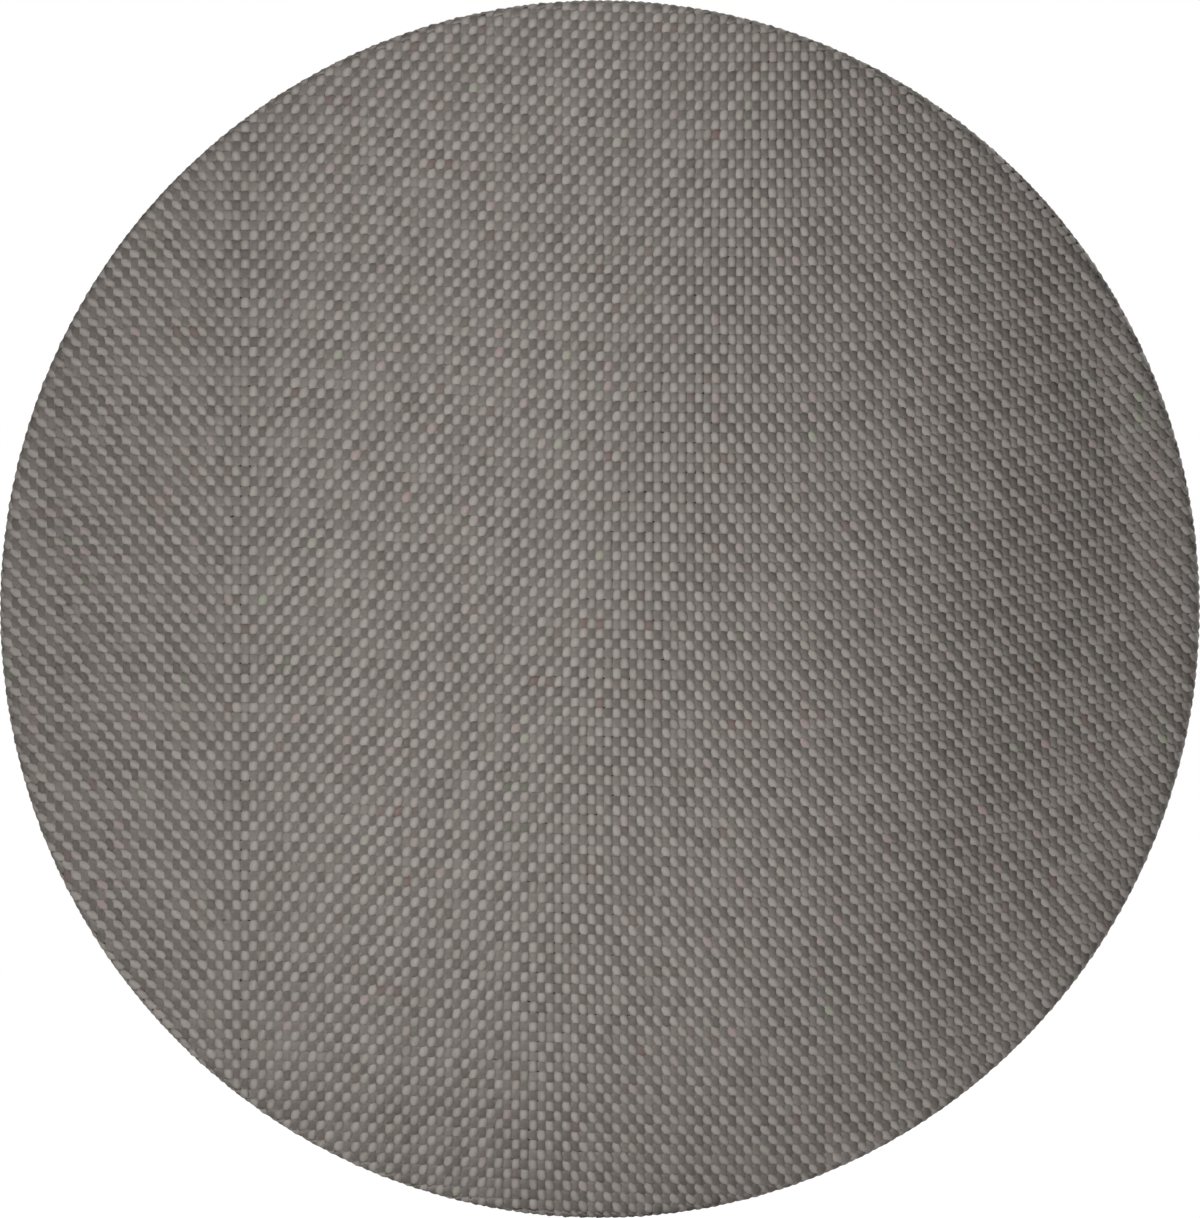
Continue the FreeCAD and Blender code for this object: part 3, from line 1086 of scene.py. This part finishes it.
corners = edge_corners(low, high, label_seam_inset, high[1] + stitch_lift)
points, along = stitch_line(corners, label_seam_pitch)
seam = stitches("label_seam", points, along, (0, 1, 0), label_stitch)
declare_laid_piece(seam)

# ----------------------------------------
# Tab patch
# A rectangle of the same cloth as the tape, sewn to the back under the hanging tab to spread its
# pull.

low, high = corners_of("tab_patch")
tape_inner = tape_ends[1]
seam_from_top = 2.5


def inner_edge(x):
    """Height of the tape's inner edge at x."""
    return (rim_z - tape_inner) * np.sqrt(1 - (x / (rim_x - tape_inner)) ** 2)


def ribbed(x, z):
    """The patch's relief: ribs across it, and a slight swell."""
    swell = 0.06 * np.sin(x / 2.1) * np.sin(z / 2.7)
    return rib_height * np.sin(2 * math.pi * x / rib_pitch) + swell


piece = flat_patch("patch", low, high, rib_pitch / 4, ribbed, grosgrain, inner_edge)
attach(piece, "spine")
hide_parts("tab_patch")
seam_x = low[0] + stitch_row
corners = [(seam_x, high[1], high[2] - seam_from_top), (seam_x, high[1], low[2] + stitch_row)]
corners += [(-x, y, z) for x, y, z in reversed(corners)]
points, along = stitch_line(corners)
seam = stitches("patch_seam", points, along, (0, 1, 0))
declare_laid_piece(seam)

# ----------------------------------------
# Hanging tab
# A short length of nylon webbing folded over the ring's bar, its two plies sewn down together
# through the patch with a boxed cross.

tab_low, tab_high = corners_of("hang_tab")
webbing_thick = 1.2
tab_middle = tab_low[1] + webbing_thick / 2
turn_radius = (tab_high[1] - tab_low[1]) / 2 - webbing_thick / 2
turn_y = (tab_low[1] + tab_high[1]) / 2
turn_z = tab_high[2] - turn_radius - webbing_thick / 2
plies_top = turn_z - 2 * (turn_radius + webbing_thick / 2)
turn_end = math.radians(-48)

webbing_ribs = (1.1, 0.16)
webbing = cloth_material(
    "webbing", (0.026, 0.026, 0.026), (0.004, 0.004, 0.004), None, webbing_ribs[0], 0.04, 0.6, 0.4
)


def bezier(a, b, c, d, count):
    """Points on a cubic curve."""
    t = np.linspace(0, 1, count)[:, None]
    a, b, c, d = (np.array(point, float) for point in (a, b, c, d))
    return (1 - t) ** 3 * a + 3 * (1 - t) ** 2 * t * b + 3 * (1 - t) * t * t * c + t**3 * d


def evenly(path, step):
    """The path's points (y, z) again, evenly this far apart."""
    lengths = np.concatenate(([0], np.cumsum(np.linalg.norm(np.diff(path, axis=0), axis=1))))
    at = np.linspace(0, lengths[-1], int(lengths[-1] / step) + 2)
    return np.stack([np.interp(at, lengths, path[:, part]) for part in (0, 1)], -1), at


def folded_strip(name, path, x_from, x_to, thick, pitch, rib, material):
    """A strip of webbing of this thickness along a path of (y, z), thinner at its selvedges,
    with ribs across it this far apart and this high."""
    path, at = evenly(np.array(path), pitch / 4)
    ahead = np.gradient(path, axis=0)
    ahead /= np.linalg.norm(ahead, axis=1)[:, None]
    normal = np.stack((ahead[:, 1], -ahead[:, 0]), -1)[:, None]
    selvedge, rounding = 0.7, 0.25
    flat_part = np.linspace(x_from + selvedge, x_to - selvedge, 6)
    across = np.concatenate(([x_from, x_from + rounding], flat_part, [x_to - rounding, x_to]))
    fullness = np.array([0.45, 0.85, 1, 1, 1, 1, 1, 1, 0.85, 0.45])
    half = thick / 2 * fullness[None, :, None]
    half = half - rib / 2 * (1 - np.sin(2 * math.pi * at / pitch))[:, None, None]
    x = across[None, :] + 0 * at[:, None]
    sides = []
    for side in (-1, 1):
        y_z = path[:, None] + side * half * normal
        sides.append(np.stack((x, y_z[..., 0], y_z[..., 1]), -1))
    return slab(name, *sides, np.stack((x, at[:, None] + 0 * x), -1), material), at[-1]


def bend_round(y, z, radius, begin, end):
    """Points (y, z) of a strip's middle where it bends round this centre."""
    angle = np.linspace(begin, end, 40)
    return np.stack((y + radius * np.cos(angle), z + radius * np.sin(angle)), -1)


turn = bend_round(turn_y, turn_z, turn_radius, math.pi, turn_end)
leaving = np.array((math.sin(turn_end), -math.cos(turn_end)))
outer_middle = tab_middle + webbing_thick
plies_meet = (outer_middle, plies_top)
back_down = bezier(
    turn[-1], turn[-1] + 1.4 * leaving, (outer_middle, plies_top + 1.6), plies_meet, 20
)
tab_ends = [[(y, tab_low[2])] for y in (tab_middle, outer_middle)]
tab_path = np.concatenate((tab_ends[0], turn, back_down[1:], tab_ends[1]))
piece, length = folded_strip(
    "tab", tab_path, tab_low[0], tab_high[0], webbing_thick, *webbing_ribs, webbing
)
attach(piece, "spine")
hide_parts("hang_tab")
plies_back = outer_middle + webbing_thick / 2
box_low, box_high = (tab_low[0], 0, tab_low[2]), (tab_high[0], 0, plies_top)
corners = edge_corners(box_low, box_high, 2, plies_back)
cross = [(corners[0], corners[2]), (corners[1], corners[3])]
lines = [stitch_line(line) for line in (corners, *cross)]
points, along = (np.concatenate(part) for part in zip(*lines))
seam = stitches("tab_seam", points, along, (0, 1, 0))
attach(seam, "spine")

# ----------------------------------------
# Hanging ring
# Round steel wire bent to a D and nickel plated. Its straight bar lies in the fold of the tab, in
# which it swings.

nickel = metal("nickel", (0.5, 0.49, 0.465), 0.2, 0.12)
dress("hang_ring", nickel)

# ----------------------------------------
# Closing loop
# One length of flat elastic whose two ends are tacked to the tape. It is slipped over the
# coiled panel to hold it shut.

anchor_low, anchor_high = corners_of("loop_anchor")
loop_low, loop_high = corners_of("closing_loop")
elastic_thick = (anchor_high[1] - anchor_low[1]) / 2
elastic_sewn = 4.0
tack_heights, tack_inset, tack_pitch = (3.6, 6.4), 1, 0.9
tack_slant = (0.35, 0, 1)
tack_stitch = (2.2, 0.5, 0.4)
eye_radius = (loop_high[1] - loop_low[1]) / 2 - elastic_thick / 2
eye_y = (loop_low[1] + loop_high[1]) / 2
eye_z = loop_low[2] + eye_radius + elastic_thick / 2
parting = loop_high[2] - elastic_sewn
inner_y = anchor_low[1] + elastic_thick / 2
outer_y = inner_y + elastic_thick

elastic_ribs = (1.3, 0.18)
knitted = cloth_material(
    "knitted_elastic",
    (0.03, 0.03, 0.03),
    (0.005, 0.005, 0.005),
    None,
    elastic_ribs[0],
    0.04,
    roughness=0.8,
    specular=0.25,
)

eye = bend_round(eye_y, eye_z, eye_radius, -math.pi, math.radians(4))
coming = bezier(eye[-1], eye[-1] + (-1.2, 26), (outer_y, parting - 16), (outer_y, parting), 30)
loop_ends = [[(y, anchor_high[2])] for y in (inner_y, outer_y)]
loop_path = np.concatenate((loop_ends[0], eye, coming[1:], loop_ends[1]))
piece, length = folded_strip(
    "elastic_strip", loop_path, anchor_low[0], anchor_high[0], elastic_thick, *elastic_ribs, knitted
)
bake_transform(piece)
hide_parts("closing_loop", "loop_anchor")
points = []
for height in tack_heights:
    ends = (anchor_low[0] + tack_inset, anchor_high[0] - tack_inset)
    row = [(x, anchor_high[1], anchor_low[2] + height) for x in ends]
    points.append(stitch_line(row, tack_pitch)[0])
points = np.concatenate(points)
seam = stitches("loop_tack", points, tack_slant, (0, 1, 0), tack_stitch)
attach(seam, "spine")
